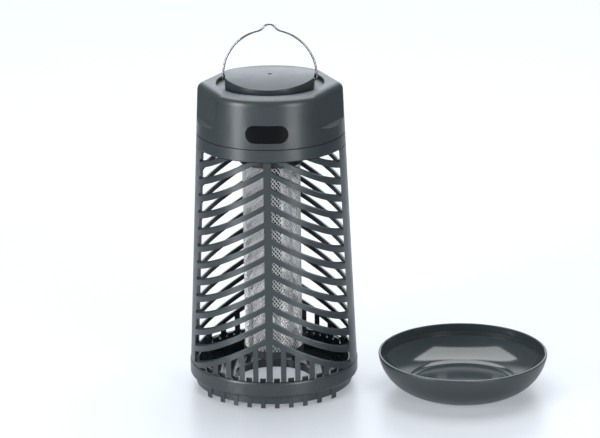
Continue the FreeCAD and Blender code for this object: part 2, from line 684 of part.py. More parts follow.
def make_bail():
    """Bent wire handle with a hook hump at its crown and inturned ends."""
    body = new_body("bail")
    start = "(dims.boss_flat - dims.pivot_reach)"
    radius = "dims.bail_radius"
    crown = "(dims.crown_height - dims.hump_radius)"
    span = f"({crown} - dims.bend_height)"
    far = f"({radius} + dims.hump_neck)"
    near = "(dims.hump_radius + dims.hump_neck)"
    neck_rise = f"(({far} ^ 2 - {near} ^ 2 + {span} ^ 2) / (2 * {span}))"
    neck_reach = f"sqrt({far} ^ 2 - {neck_rise} ^ 2)"
    low_x = f"({neck_reach} * {radius} / {far})"
    low_z = f"(dims.bend_height + {neck_rise} * {radius} / {far})"
    high_x = f"({neck_reach} * dims.hump_radius / {near})"
    high_z = f"({crown} + ({neck_rise} - {span}) * dims.hump_radius / {near})"
    route = new_sketch(body, "route")
    path(route, [
        (start, "dims.pivot_height"),
        (f"{radius} - dims.wire_bend", "dims.pivot_height", "dims.wire_bend"),
        (radius, "dims.pivot_height + dims.wire_bend"),
        (radius, "dims.bend_height", radius),
        (low_x, low_z, "-dims.hump_neck"),
        (high_x, high_z, "dims.hump_radius"),
        (f"-{high_x}", high_z, "-dims.hump_neck"),
        (f"-{low_x}", low_z, radius),
        (f"-{radius}", "dims.bend_height"),
        (f"-{radius}", "dims.pivot_height + dims.wire_bend", "dims.wire_bend"),
        (f"-({radius} - dims.wire_bend)", "dims.pivot_height"),
        (f"-{start}", "dims.pivot_height"),
    ])
    section = new_sketch(body, "wire_section", "YZ_Plane", start)
    disc(section, "0", "dims.pivot_height", "dims.wire / 2")
    wire = body.newObject("PartDesign::AdditivePipe", "wire")
    wire.Profile = section
    wire.Spine = route
    return body


def make_boss_screws():
    """Screws that hold the boss from inside the head."""
    body = new_body("boss_screws")
    head_top = "(dims.recess_floor - dims.head_wall)"
    for name, radius, low, length in (("heads", "2.8", f"({head_top} - 1.8)", "1.8"),
                                      ("shanks", "dims.screw_radius", f"({head_top} - 0.5)", "6.5")):
        sketch = new_sketch(body, f"{name}_outline", "XY_Plane", low)
        for face in FRONT_AND_REAR:
            disc(sketch, "0", f"{face} * dims.boss_screw_place", radius)
        pad(body, sketch, length, name)
    return body


def curved_stadium(name, margin, outer, inner):
    """Stadium cut from the front of the cone's shell, between two insets."""
    body = document.addObject("PartDesign::Body", name)
    low, high = "(dims.window_middle - 12)", "(dims.window_middle + 12)"
    revolve(body, f"{name}_shell", [
        (f"-({cone(low)} - {outer})", low),
        (f"-({cone(high)} - {outer})", high),
        (f"-({cone(high)} - {inner})", high),
        (f"-({cone(low)} - {inner})", low),
    ], "YZ_Plane", 60)
    sketch = new_sketch(body, f"{name}_outline")
    rectangle(sketch, "-60", "dims.window_middle - 20", "60", "dims.window_middle + 20")
    stadium(sketch, "dims.window_middle", f"(dims.window_width + 2 * {margin})",
            f"(dims.window_height + 2 * {margin})")
    pocket(body, sketch, "dims.foot_radius + 10", f"{name}_trim", backward=True)
    return body


def make_sensor_window():
    """Smoked window flush with the head, with a bonding flange behind its hole."""
    pane = curved_stadium("window_pane", "(-dims.window_gap)", "0.05", "(dims.head_wall + 0.6)")
    flange = curved_stadium("window_flange", "dims.flange_margin", "(dims.head_wall + 0.05)",
                            "(dims.head_wall + 1.3)")
    window = document.addObject("Part::MultiFuse", "sensor_window")
    window.Label = "sensor_window"
    window.Shapes = [pane, flange]
    sub_parts.append(window)
    return window


def make_seam_gasket():
    """Dark seal in the seam between the cage and the head."""
    body = new_body("seam_gasket")
    low, high = "dims.seam_height", "dims.seam_height + dims.seam_gap"
    outer = f"({cone(low)} - 0.9)"
    inner = f"({cone(low)} - dims.head_wall)"
    revolve(body, "seal", [(inner, low), (outer, low), (outer, high), (inner, high)])
    return body


# ---------------------------------------------------------------- electrodes and lamp

def make_grid(label, radius):
    """Mesh tube, drawn as a plain thin sheet."""
    body = new_body(label)
    inner = f"({radius} - dims.grid_sheet)"
    revolve(body, "sheet", [
        (inner, "dims.grid_bottom"),
        (radius, "dims.grid_bottom"),
        (radius, "dims.grid_top"),
        (inner, "dims.grid_top"),
    ])
    return body


def groove(radius, mouth, end):
    """Section of the groove that takes the edge of a mesh tube, inner side first."""
    near = f"({radius} - dims.grid_sheet - 0.05)"
    far = f"({radius} + 0.05)"
    return [(near, mouth), (near, end), (far, end), (far, mouth)]


def make_grid_holder():
    """Insulating cup under the deck that grips both mesh tubes and the lamp."""
    body = new_body("grid_holder")
    low = "dims.holder_bottom"
    end = "dims.grid_top + 0.05"
    revolve(body, "cup", [
        ("dims.lamp_hole", low),
        *groove("dims.grid_inner", low, end),
        ("dims.grid_inner + 2.5", low),
        ("dims.grid_inner + 2.5", "dims.grid_top + 2"),
        ("dims.grid_outer - 2.7", "dims.grid_top + 2"),
        ("dims.grid_outer - 2.7", low),
        *groove("dims.grid_outer", low, end),
        ("dims.holder_radius", low),
        ("dims.holder_radius", "dims.deck_bottom - 2.5"),
        ("dims.holder_radius + 6.5", "dims.deck_bottom - 2.5"),
        ("dims.holder_radius + 6.5", "dims.deck_bottom"),
        ("dims.holder_radius - 2.8", "dims.deck_bottom"),
        ("dims.holder_radius - 2.8", "dims.grid_top + 5"),
        ("dims.lamp_hole + 2.2", "dims.grid_top + 5"),
        ("dims.lamp_hole + 2.2", "dims.grid_top + 8"),
        ("dims.lamp_hole", "dims.grid_top + 8"),
    ])
    sketch = new_sketch(body, "lead_outline", "XY_Plane", "dims.deck_bottom")
    lead_discs(sketch, "dims.lead_radius + 0.1")
    pocket(body, sketch, "dims.deck_bottom - dims.grid_top", "lead_holes")
    sketch = new_sketch(body, "screw_outline", "XY_Plane", "dims.deck_bottom")
    post_discs(sketch, "1.05", "(dims.holder_radius + 3.5)", HOLDER_TURNS)
    pocket(body, sketch, "5", "screw_holes")
    return body


def make_grid_spacer():
    """Two rings on four spokes that keep the mesh tubes apart at their feet."""
    body = new_body("grid_spacer")
    low, high, end = "dims.spacer_bottom", "dims.spacer_top", "dims.grid_bottom - 0.05"
    for name, radius in (("inner_ring", "dims.grid_inner"), ("outer_ring", "dims.grid_outer")):
        near = f"({radius} - dims.grid_sheet - 0.9)"
        far = f"({radius} + 1.1)"
        revolve(body, name, [
            (near, low),
            (far, low),
            (far, high),
            *reversed(groove(radius, high, end)),
            (near, high),
        ])
        if name == "inner_ring":
            sketch = new_sketch(body, "spoke_section", "XY_Plane", low)
            for turn in SPOKE_TURNS:
                tongue(sketch, turn, "(dims.grid_inner - 0.5)", "(dims.grid_outer + 0.5)", "3")
            pad(body, sketch, "2.5", "spokes")
    return body


def tongue(sketch, turn, near, far, width):
    """Rectangle that points away from the axis at an angle from +X."""
    corners = []
    for reach, side in ((near, -1), (far, -1), (far, 1), (near, 1)):
        x = f"({reach} * cos({turn} deg) - {side} * {width} / 2 * sin({turn} deg))"
        y = f"({reach} * sin({turn} deg) + {side} * {width} / 2 * cos({turn} deg))"
        corners.append((x, y))
    outline(sketch, corners)


def make_lamp_tube():
    """Clear tube round the ultraviolet strip, closed and rounded at its foot."""
    body = new_body("lamp_tube")
    top = "(dims.grid_top + 2)"
    inner = "(dims.lamp_radius - dims.lamp_wall)"
    revolve(body, "tube", [
        ("0", "dims.lamp_bottom"),
        ("dims.lamp_radius - 3", "dims.lamp_bottom", "3"),
        ("dims.lamp_radius", "dims.lamp_bottom + 3"),
        ("dims.lamp_radius", top),
        (inner, top),
        (inner, "dims.lamp_bottom + 3", "-2"),
        (f"{inner} - 2", "dims.lamp_bottom + dims.lamp_wall"),
        ("0", "dims.lamp_bottom + dims.lamp_wall"),
    ])
    return body


def make_lamp_cap():
    """Cap that carries the lamp tube on the holder's hub."""
    body = new_body("lamp_cap")
    low, high = "dims.grid_top + 2.05", "dims.grid_top + 8.05"
    revolve(body, "plug", [
        ("0", low),
        ("dims.lamp_hole - 0.05", low),
        ("dims.lamp_hole - 0.05", high),
        ("dims.lamp_hole + 2.2", high),
        ("dims.lamp_hole + 2.2", f"{high} + 2"),
        ("0", f"{high} + 2"),
    ])
    return body


def make_led_strip():
    """Board with a row of ultraviolet diodes on both faces."""
    body = new_body("led_strip")
    low = "(dims.lamp_bottom + 8)"
    high = "(dims.grid_top + 2)"
    sketch = new_sketch(body, "board_outline")
    rectangle(sketch, "-2.5", low, "2.5", high)
    pad(body, sketch, "1.2", "board", both=True)
    sketch = new_sketch(body, "diode_outlines")
    for index in range(LED_COUNT):
        middle = f"({low} + ({index} + 0.5) * ({high} - {low}) / {LED_COUNT})"
        rectangle(sketch, "-1.4", f"{middle} - 1.4", "1.4", f"{middle} + 1.4")
    pad(body, sketch, "2.8", "diodes", both=True)
    return body


def lead_discs(sketch, radius):
    """Discs where the high-voltage leads reach the two mesh tubes."""
    for grid in ("dims.grid_inner", "dims.grid_outer"):
        disc(sketch, "0", f"{grid} - dims.grid_sheet / 2", radius)


def make_grid_leads():
    """Two stiff leads from the high-voltage module down to the mesh tubes."""
    body = new_body("grid_leads")
    sketch = new_sketch(body, "lead_outline", "XY_Plane", "dims.grid_top + 0.1")
    lead_discs(sketch, "dims.lead_radius")
    pad(body, sketch, "dims.deck_top - dims.grid_top - 0.1", "leads")
    return body


# ---------------------------------------------------------------- deck and electronics

def make_deck_plate():
    """Plate that closes the head and carries the electronics."""
    body = new_body("deck_plate")
    sketch = new_sketch(body, "plate_outline", "XY_Plane", "dims.deck_bottom")
    disc(sketch, "0", "0", "dims.deck_radius")
    post_discs(sketch, "dims.screw_radius + 0.05")
    disc(sketch, "0", "0", "3")
    lead_discs(sketch, "dims.lead_radius + 0.1")
    post_discs(sketch, "1.05", "(dims.holder_radius + 3.5)", HOLDER_TURNS)
    pad(body, sketch, "dims.deck_top - dims.deck_bottom", "plate")
    sketch = new_sketch(body, "standoff_outline", "XY_Plane", "dims.deck_top")
    board_discs(sketch, "2.6")
    board_discs(sketch, "1.05")
    pad(body, sketch, "dims.board_bottom - dims.deck_top", "standoffs")
    return body


def board_discs(sketch, radius):
    """Discs at the main board's four fixing points."""
    for side in LEFT_AND_RIGHT:
        for y in ("(dims.cell_place - 25)", "(dims.cell_place + 22.5)"):
            disc(sketch, f"{side} * 37.5", y, radius)


def make_main_board():
    """Charging and driver board under the battery."""
    body = new_body("main_board")
    sketch = new_sketch(body, "board_outline", "XY_Plane", "dims.board_bottom")
    rectangle(sketch, "-41", "dims.cell_place - 28.5", "41", "dims.cell_place + 25.5")
    board_discs(sketch, "1.05")
    pad(body, sketch, "dims.board_sheet", "board")
    return body


def screw_group(label, discs, seat, head_radius, head_height, radius, length, upward):
    """Group of equal screws; the shank runs up from the seat, or down from it."""
    body = new_body(label)
    head = new_sketch(body, "head_outline", "XY_Plane", seat)
    discs(head, head_radius)
    pad(body, head, head_height, "heads", backward=upward)
    shank = new_sketch(body, "shank_outline", "XY_Plane", seat)
    discs(shank, radius)
    pad(body, shank, length, "shanks", backward=not upward)
    return body


def make_housing_screws():
    """Long screws through the cage's lugs and the deck into the head."""
    return screw_group("housing_screws", post_discs, "dims.lug_bottom", "2.8", "1.3",
                       "dims.screw_radius", "16", upward=True)


def make_holder_screws():
    """Screws that hang the grid holder under the deck."""
    def discs(sketch, radius):
        post_discs(sketch, radius, "(dims.holder_radius + 3.5)", HOLDER_TURNS)
    return screw_group("holder_screws", discs, "dims.deck_bottom - 2.5", "1.9", "1.2",
                       "1.0", "4.8", upward=True)


def make_board_screws():
    """Screws that hold the main board on its standoffs."""
    return screw_group("board_screws", board_discs, "dims.board_bottom + dims.board_sheet",
                       "1.9", "1.2", "1.0", "4", upward=False)


def make_battery_cradle():
    """Open cradle on the main board that holds both cells end to end."""
    body = new_body("battery_cradle")
    low = "(dims.board_bottom + dims.board_sheet)"
    half = "(dims.cell_length / 2)"
    depth = "(dims.cell_pitch / 2 + dims.cell_radius + 0.5)"
    sketch = new_sketch(body, "base_outline", "XY_Plane", low)
    rectangle(sketch, f"-({half} + 1.9)", f"dims.cell_place - {depth}",
              f"{half} + 1.9", f"dims.cell_place + {depth}")
    pad(body, sketch, "1.4", "base")
    sketch = new_sketch(body, "end_outline", "XY_Plane", low)
    for side in LEFT_AND_RIGHT:
        rectangle(sketch, f"{side} * ({half} + 0.1)", f"dims.cell_place - {depth}",
                  f"{side} * ({half} + 1.9)", f"dims.cell_place + {depth}")
    pad(body, sketch, "12", "ends")
    return body


def make_battery_cells():
    """Pair of cylindrical lithium cells."""
    body = new_body("battery_cells")
    half = "(dims.cell_length / 2)"
    sketch = new_sketch(body, "cell_outline", "YZ_Plane", f"-{half}")
    nub = new_sketch(body, "nub_outline", "YZ_Plane", f"{half} - 1.2")
    for side in LEFT_AND_RIGHT:
        y = f"dims.cell_place + {side} * dims.cell_pitch / 2"
        disc(sketch, y, "dims.cell_middle", "dims.cell_radius")
        disc(nub, y, "dims.cell_middle", "3")
    pad(body, sketch, "dims.cell_length - 1.2", "cells")
    pad(body, nub, "1.2", "terminals")
    return body


def make_hv_module():
    """Potted high-voltage block that feeds the mesh tubes."""
    body = new_body("hv_module")
    sketch = new_sketch(body, "block_outline", "XY_Plane", "dims.deck_top")
    rectangle(sketch, "-20", "15.5", "20", "40")
    pad(body, sketch, "19", "block")
    sketch = new_sketch(body, "coil_outline", "XY_Plane", "dims.deck_top + 19")
    disc(sketch, "0", "28", "8.5")
    pad(body, sketch, "3", "coil")
    return body


def make_rear_board():
    """Upright board for the power switch and the charging port."""
    body = new_body("rear_board")
    sketch = new_sketch(body, "board_outline", height="-dims.rear_board_place")
    rectangle(sketch, "-9", "dims.deck_top", "9", "dims.button_height + 5")
    pad(body, sketch, "dims.board_sheet", "board", backward=True)
    return body


def make_power_switch():
    """Push switch behind the power button."""
    body = new_body("power_switch")
    place = "(dims.rear_board_place + dims.board_sheet)"
    sketch = new_sketch(body, "case_outline", height=f"-{place}")
    rectangle(sketch, "-3", "dims.button_height - 3", "3", "dims.button_height + 3")
    pad(body, sketch, "3.0", "case", backward=True)
    sketch = new_sketch(body, "plunger_outline", height=f"-({place} + 3.0)")
    disc(sketch, "0", "dims.button_height", "1.7")
    pad(body, sketch, "0.6", "plunger", backward=True)
    return body


def make_power_button():
    """Round button cap with a retaining flange and a stem towards the switch."""
    body = new_body("power_button")
    for name, near, far, radius in (
            ("cap", "60.9", "dims.button_face", "dims.button_radius"),
            ("flange", "59.7", "60.9", "dims.button_radius + 1.4"),
            ("stem", "58.4", "59.7", "1.6")):
        sketch = new_sketch(body, f"{name}_outline", height=f"-({near})")
        disc(sketch, "0", "dims.button_height", radius)
        pad(body, sketch, f"{far} - {near}", name, backward=True)
    document.recompute()
    face = [f"Edge{index}" for index, edge in enumerate(body.Shape.Edges, start=1)
            if all(abs(vertex.Y - number("dims.button_face")) < 1e-6 for vertex in edge.Vertexes)]
    soften(body, "cap_rounding", face, "0.6")
    return body


def make_charge_port():
    """Charging socket with its tongue."""
    body = new_body("charge_port")
    place = "(dims.rear_board_place + dims.board_sheet)"
    sketch = new_sketch(body, "shell_outline", height=f"-{place}")
    stadium(sketch, "dims.port_height", "dims.port_width", "dims.port_sheet")
    pad(body, sketch, "8", "shell", backward=True)
    sketch = new_sketch(body, "mouth_outline", height=f"-({place} + 1.5)")
    stadium(sketch, "dims.port_height", "(dims.port_width - 0.7)", "(dims.port_sheet - 0.7)")
    pocket(body, sketch, "8", "mouth")
    sketch = new_sketch(body, "tongue_outline", height=f"-({place} + 1)")
    rectangle(sketch, "-3.3", "dims.port_height - 0.35", "3.3", "dims.port_height + 0.35")
    pad(body, sketch, "5.5", "tongue", backward=True)
    return body


def make_port_cover():
    """Soft flap over the charging port, hinged along its lower edge."""
    body = new_body("port_cover")
    sketch = new_sketch(body, "flap_outline", height="-(dims.flap_face - dims.flap_sheet)")
    stadium(sketch, "dims.port_height", "dims.flap_width", "dims.flap_height")
    pad(body, sketch, "dims.flap_sheet", "flap", backward=True)
    return body


def make_indicator_board():
    """Small board behind the window with a light sensor and indicators."""
    body = new_body("indicator_board")
    sketch = new_sketch(body, "board_outline", height="dims.indicator_place")
    rectangle(sketch, "-16", "dims.window_middle - 5.5", "16", "dims.window_middle + 5.5")
    pad(body, sketch, "1.2", "board", backward=True)
    sketch = new_sketch(body, "diode_outline", height="dims.indicator_place - 0.2")
    for x in ("-8", "0", "8"):
        disc(sketch, x, "dims.window_middle", "1.5")
    pad(body, sketch, "1.8", "diodes")
    return body


# ---------------------------------------------------------------- build and write

def check_document():
    """Stop if any object failed or any sub-part is not a sound solid."""
    for thing in document.Objects:
        if "Invalid" in thing.State or "Error" in thing.State:
            raise RuntimeError(f"{thing.Label} failed: {thing.State}")
    for part in sub_parts:
        if part.Shape.isNull() or not part.Shape.isValid() or not part.Shape.Solids:
            raise RuntimeError(f"{part.Label} is not a sound solid")


def write_parts():
    """Write each sub-part to its own file."""
    os.makedirs("parts", exist_ok=True)
    for part in sub_parts:
        part.Shape.exportStep(f"parts/{part.Label}.step")
        print(f"{part.Label}: {len(part.Shape.Solids)} solids, {part.Shape.Volume / 1000:.2f} cm3")


make_cage()
make_base_ring()
make_collection_tray()
make_head_shell()
make_top_boss()
make_bail()
make_boss_screws()
make_sensor_window()
make_seam_gasket()
make_grid("outer_grid", "dims.grid_outer")
make_grid("inner_grid", "dims.grid_inner")
make_grid_holder()
make_grid_spacer()
make_lamp_tube()
make_lamp_cap()
make_led_strip()
make_grid_leads()
make_deck_plate()
make_main_board()
make_housing_screws()
make_holder_screws()
make_board_screws()
make_battery_cradle()
make_battery_cells()
make_hv_module()
make_rear_board()
make_power_switch()
make_power_button()
make_charge_port()
make_port_cover()
make_indicator_board()
document.recompute()
check_document()
write_parts()
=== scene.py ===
import json
import math

import bpy
from mathutils import Matrix, Vector


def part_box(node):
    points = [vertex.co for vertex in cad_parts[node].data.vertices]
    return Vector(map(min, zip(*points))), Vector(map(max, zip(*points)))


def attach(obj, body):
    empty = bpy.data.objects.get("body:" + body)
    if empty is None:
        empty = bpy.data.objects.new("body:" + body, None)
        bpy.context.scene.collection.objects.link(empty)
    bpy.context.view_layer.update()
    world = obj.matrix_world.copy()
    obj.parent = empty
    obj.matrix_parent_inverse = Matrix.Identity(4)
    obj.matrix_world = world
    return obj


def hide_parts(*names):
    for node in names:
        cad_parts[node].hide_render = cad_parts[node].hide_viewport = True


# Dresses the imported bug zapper: camera, pale stage, soft lights, materials for every CAD
# node, and the open mesh of the two electrodes in place of the CAD model's plain sleeves.
# Everything is in metres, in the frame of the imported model.

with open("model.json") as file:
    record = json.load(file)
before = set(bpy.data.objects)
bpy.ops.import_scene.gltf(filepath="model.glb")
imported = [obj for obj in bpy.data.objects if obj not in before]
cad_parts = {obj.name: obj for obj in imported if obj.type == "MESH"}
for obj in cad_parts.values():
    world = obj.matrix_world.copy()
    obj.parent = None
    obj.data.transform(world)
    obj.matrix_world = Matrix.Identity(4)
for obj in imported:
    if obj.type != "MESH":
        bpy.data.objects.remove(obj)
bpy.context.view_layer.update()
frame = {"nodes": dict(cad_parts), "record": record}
nodes = frame["nodes"]
scene = bpy.context.scene
scene.view_settings.view_transform = "Standard"


# ---------------------------------------------------------------- camera

CAMERA_PLACE = (0.1321, -2.3580, 0.8970)
CAMERA_YAW = 2.606
CAMERA_PITCH = 17.516
CAMERA_ROLL = -0.66
LENS = 168.0
SENSOR = 36.0
CLIP_START = 0.05
CLIP_END = 60.0


def make_camera():
    data = bpy.data.cameras.new("camera")
    data.lens = LENS
    data.sensor_width = SENSOR
    data.clip_start = CLIP_START
    data.clip_end = CLIP_END
    camera = bpy.data.objects.new("camera", data)
    scene.collection.objects.link(camera)
    heading = Matrix.Rotation(math.radians(CAMERA_YAW), 4, "Z")
    pitch = Matrix.Rotation(math.radians(90 - CAMERA_PITCH), 4, "X")
    roll = Matrix.Rotation(math.radians(CAMERA_ROLL), 4, "Z")
    camera.matrix_world = Matrix.Translation(CAMERA_PLACE) @ heading @ pitch @ roll
    scene.camera = camera


# ---------------------------------------------------------------- stage and lights

def add_area(name, place, target, width, height, power):
    """A soft box that lights from one place towards another and isn't seen itself."""
    data = bpy.data.lights.new(name, "AREA")
    data.shape = "RECTANGLE"
    data.size = width
    data.size_y = height
    data.energy = power
    lamp = bpy.data.objects.new(name, data)
    scene.collection.objects.link(lamp)
    aim = Vector(target) - Vector(place)
    lamp.matrix_world = Matrix.Translation(place) @ aim.to_track_quat("-Z", "Y").to_matrix().to_4x4()
    lamp.visible_camera = False


# Each soft box: name, place, target, width, height, power.
SOFT_BOXES = (
    ("overhead", (0.0, 0.7, 2.0), (0.0, 0.1, 0.0), 2.4, 1.6, 60.0),
    ("left_box", (-0.95, -0.85, 0.45), (0.0, 0.0, 0.15), 0.30, 0.9, 15.0),
    ("right_box", (0.75, -0.98, 0.45), (0.0, 0.0, 0.15), 0.30, 0.9, 9.0),
)

# The backdrop's edges are soft steps: sideways by the cosine of the angle from +Y, and
# up and down by the height of the direction.
AMBIENT = 0.17
BACKDROP = 2.1
BACKDROP_SIDES = (0.86, 0.98)
BACKDROP_FOOT = (-0.06, 0.08)
BACKDROP_TOP = (0.42, 0.75)
STUDIO_COLOUR = (0.86, 0.93, 1.0, 1.0)
FLOOR_HALF = 8.0
FLOOR_COLOUR = (0.34, 0.36, 0.39)
FLOOR_GLOW = (0.86, 0.90, 0.97, 1)
FLOOR_GLOSS = 0.34
FLOOR_LIFT = 0.33
PAPER_EDGE = 0.50
PAPER_FADE = 0.70
TABLE_SHARE = 0.12


def smooth_step(tree, source, low, high, start=0.0, end=1.0):
    """A soft step of a value from start to end."""
    node = tree.nodes.new("ShaderNodeMapRange")
    node.interpolation_type = "SMOOTHSTEP"
    node.inputs["From Min"].default_value = low
    node.inputs["From Max"].default_value = high
    node.inputs["To Min"].default_value = start
    node.inputs["To Max"].default_value = end
    tree.links.new(source, node.inputs["Value"])
    return node.outputs["Result"]


def calculate(tree, operation, first, second):
    """A math node on two values, each a socket or a number."""
    node = tree.nodes.new("ShaderNodeMath")
    node.operation = operation
    for socket, value in zip(node.inputs, (first, second)):
        if isinstance(value, bpy.types.NodeSocket):
            tree.links.new(value, socket)
        else:
            socket.default_value = value
    return node.outputs[0]


def make_world():
    """A dim room with a broad lit backdrop that stands behind the object."""
    world = bpy.data.worlds.new("studio")
    scene.world = world
    world.use_nodes = True
    tree = world.node_tree
    tree.nodes.clear()
    output = tree.nodes.new("ShaderNodeOutputWorld")
    background = tree.nodes.new("ShaderNodeBackground")
    direction = tree.nodes.new("ShaderNodeTexCoord").outputs["Generated"]
    level = tree.nodes.new("ShaderNodeVectorMath")
    level.operation = "MULTIPLY"
    level.inputs[1].default_value = (1.0, 1.0, 0.0)
    heading = tree.nodes.new("ShaderNodeVectorMath")
    heading.operation = "NORMALIZE"
    heading_parts = tree.nodes.new("ShaderNodeSeparateXYZ")
    parts = tree.nodes.new("ShaderNodeSeparateXYZ")
    tree.links.new(direction, level.inputs[0])
    tree.links.new(level.outputs[0], heading.inputs[0])
    tree.links.new(heading.outputs[0], heading_parts.inputs[0])
    tree.links.new(direction, parts.inputs[0])
    across = smooth_step(tree, heading_parts.outputs["Y"], *BACKDROP_SIDES)
    above_floor = smooth_step(tree, parts.outputs["Z"], *BACKDROP_FOOT)
    below_top = smooth_step(tree, parts.outputs["Z"], *BACKDROP_TOP, 1.0, 0.0)
    panel = calculate(tree, "MULTIPLY", across, calculate(tree, "MULTIPLY", above_floor, below_top))
    glow = calculate(tree, "MULTIPLY", panel, BACKDROP)
    background.inputs["Color"].default_value = STUDIO_COLOUR
    tree.links.new(calculate(tree, "ADD", glow, AMBIENT), background.inputs["Strength"])
    tree.links.new(background.outputs[0], output.inputs["Surface"])


def make_floor():
    """Satin paper that mirrors the backdrop softly, on a table that is dark to either side."""
    mesh = bpy.data.meshes.new("floor")
    half = FLOOR_HALF
    mesh.from_pydata([(-half, -half, 0), (half, -half, 0), (half, half, 0), (-half, half, 0)],
                     [], [(0, 1, 2, 3)])
    floor = bpy.data.objects.new("floor", mesh)
    scene.collection.objects.link(floor)
    material = bpy.data.materials.new("floor")
    material.use_nodes = True
    tree = material.node_tree
    shader = tree.nodes["Principled BSDF"]
    shader.inputs["Roughness"].default_value = FLOOR_GLOSS
    place = tree.nodes.new("ShaderNodeSeparateXYZ")
    tree.links.new(tree.nodes.new("ShaderNodeTexCoord").outputs["Object"], place.inputs[0])
    sideways = calculate(tree, "ABSOLUTE", place.outputs["X"], 0.0)
    paper = smooth_step(tree, sideways, PAPER_EDGE, PAPER_FADE, 1.0, TABLE_SHARE)
    tint = tree.nodes.new("ShaderNodeVectorMath")
    tint.operation = "SCALE"
    tint.inputs[0].default_value = FLOOR_COLOUR
    tree.links.new(paper, tint.inputs["Scale"])
    tree.links.new(tint.outputs[0], shader.inputs["Base Color"])
    path = tree.nodes.new("ShaderNodeLightPath").outputs
    seen = calculate(tree, "MAXIMUM", path["Is Glossy Ray"], path["Is Transmission Ray"])
    seen = calculate(tree, "MAXIMUM", seen, path["Is Camera Ray"])
    shader.inputs["Emission Color"].default_value = FLOOR_GLOW
    lift = calculate(tree, "MULTIPLY", paper, FLOOR_LIFT)
    tree.links.new(calculate(tree, "MULTIPLY", seen, lift), shader.inputs["Emission Strength"])
    mesh.materials.append(material)


# ---------------------------------------------------------------- materials

class Surface:
    """Builds one procedural material: a colour with mottling, a roughness with wear and a grain."""

    def __init__(self, name):
        self.material = bpy.data.materials.new(name)
        self.material.use_nodes = True
        self.tree = self.material.node_tree
        self.shader = self.tree.nodes["Principled BSDF"]
        self.coordinates = self.tree.nodes.new("ShaderNodeTexCoord").outputs["Object"]

    def add(self, kind, **settings):
        node = self.tree.nodes.new(kind)
        for key, value in settings.items():
            setattr(node, key, value)
        return node

    def link(self, source, target):
        self.tree.links.new(source, target)

    def set(self, **values):
        for key, value in values.items():
            self.shader.inputs[key.replace("_", " ")].default_value = value

    def noise(self, scale, detail=3.0, roughness=0.5, stretch=None):
        node = self.add("ShaderNodeTexNoise")
        node.inputs["Scale"].default_value = scale
        node.inputs["Detail"].default_value = detail
        node.inputs["Roughness"].default_value = roughness
        source = self.coordinates
        if stretch:
            mapping = self.add("ShaderNodeMapping")
            mapping.inputs["Scale"].default_value = stretch
            self.link(source, mapping.inputs["Vector"])
            source = mapping.outputs["Vector"]
        self.link(source, node.inputs["Vector"])
        return node.outputs["Fac"]

    def spread(self, source, low, high, start=0.3, end=0.7):
        node = self.add("ShaderNodeMapRange")
        node.inputs["From Min"].default_value = start
        node.inputs["From Max"].default_value = end
        node.inputs["To Min"].default_value = low
        node.inputs["To Max"].default_value = high
        self.link(source, node.inputs["Value"])
        return node.outputs["Result"]

    def colour(self, source, first, second, start=0.3, end=0.7):
        ramp = self.add("ShaderNodeValToRGB")
        ramp.color_ramp.elements[0].position = start
        ramp.color_ramp.elements[1].position = end
        ramp.color_ramp.elements[0].color = (*first, 1)
        ramp.color_ramp.elements[1].color = (*second, 1)
        self.link(source, ramp.inputs[0])
        self.link(ramp.outputs[0], self.shader.inputs["Base Color"])

    def roughness(self, source, low, high):
        self.link(self.spread(source, low, high), self.shader.inputs["Roughness"])

    def bump(self, source, distance, strength=1.0, under=None):
        node = self.add("ShaderNodeBump")
        node.inputs["Distance"].default_value = distance
        node.inputs["Strength"].default_value = strength
        self.link(source, node.inputs["Height"])
        if under is not None:
            self.link(under, node.inputs["Normal"])
        self.link(node.outputs["Normal"], self.shader.inputs["Normal"])
        return node.outputs["Normal"]


def moulded(name, colour, rough, grain=0.000002, contrast=0.08, coat=0.0, coat_rough=0.1,
            specular=0.5, polished=None):
    """Injection-moulded plastic: faint flow mottling, fine grain, slightly uneven gloss.

    Where polished(surface) is 1, the gloss is that of a polished mould.
    """
    surface = Surface(name)
    flow = surface.noise(14.0, 4.0, 0.55, stretch=(1.0, 1.0, 0.4))
    darker = tuple(c * (1 - contrast) for c in colour)
    lighter = tuple(c * (1 + contrast) for c in colour)
    surface.colour(flow, darker, lighter)
    satin = surface.spread(surface.noise(60.0, 5.0, 0.6), rough * 0.88, rough * 1.12)
    if polished:
        shine = calculate(surface.tree, "SUBTRACT", POLISHED, satin)
        shine = calculate(surface.tree, "MULTIPLY", shine, polished(surface))
        satin = calculate(surface.tree, "ADD", satin, shine)
    surface.link(satin, surface.shader.inputs["Roughness"])
    surface.bump(surface.noise(1200.0, 2.0, 0.6), grain)
    surface.set(Specular_IOR_Level=specular, Coat_Weight=coat, Coat_Roughness=coat_rough)
    return surface.material


def drawn_metal(name, colour, rough, streak=(1.0, 1.0, 1.0), grain=0.00001, contrast=0.12):
    """Bare metal with the fine streaks of drawing or rolling."""
    surface = Surface(name)
    streaks = surface.noise(900.0, 3.0, 0.6, stretch=streak)
    darker = tuple(c * (1 - contrast) for c in colour)
    lighter = tuple(min(1.0, c * (1 + contrast)) for c in colour)
    surface.colour(streaks, darker, lighter)
    surface.roughness(surface.noise(120.0, 4.0, 0.6), rough * 0.8, rough * 1.2)
    surface.bump(streaks, grain)
    surface.set(Metallic=1.0)
    return surface.material


def zinc_mesh(name):
    """Bright zinc on expanded sheet: half mirror, half chalky."""
    surface = Surface(name)
    surface.colour(surface.noise(500.0), (0.80, 0.81, 0.82), (0.92, 0.93, 0.94))
    surface.roughness(surface.noise(300.0), 0.30, 0.42)
    surface.set(Metallic=0.55)
    return surface.material


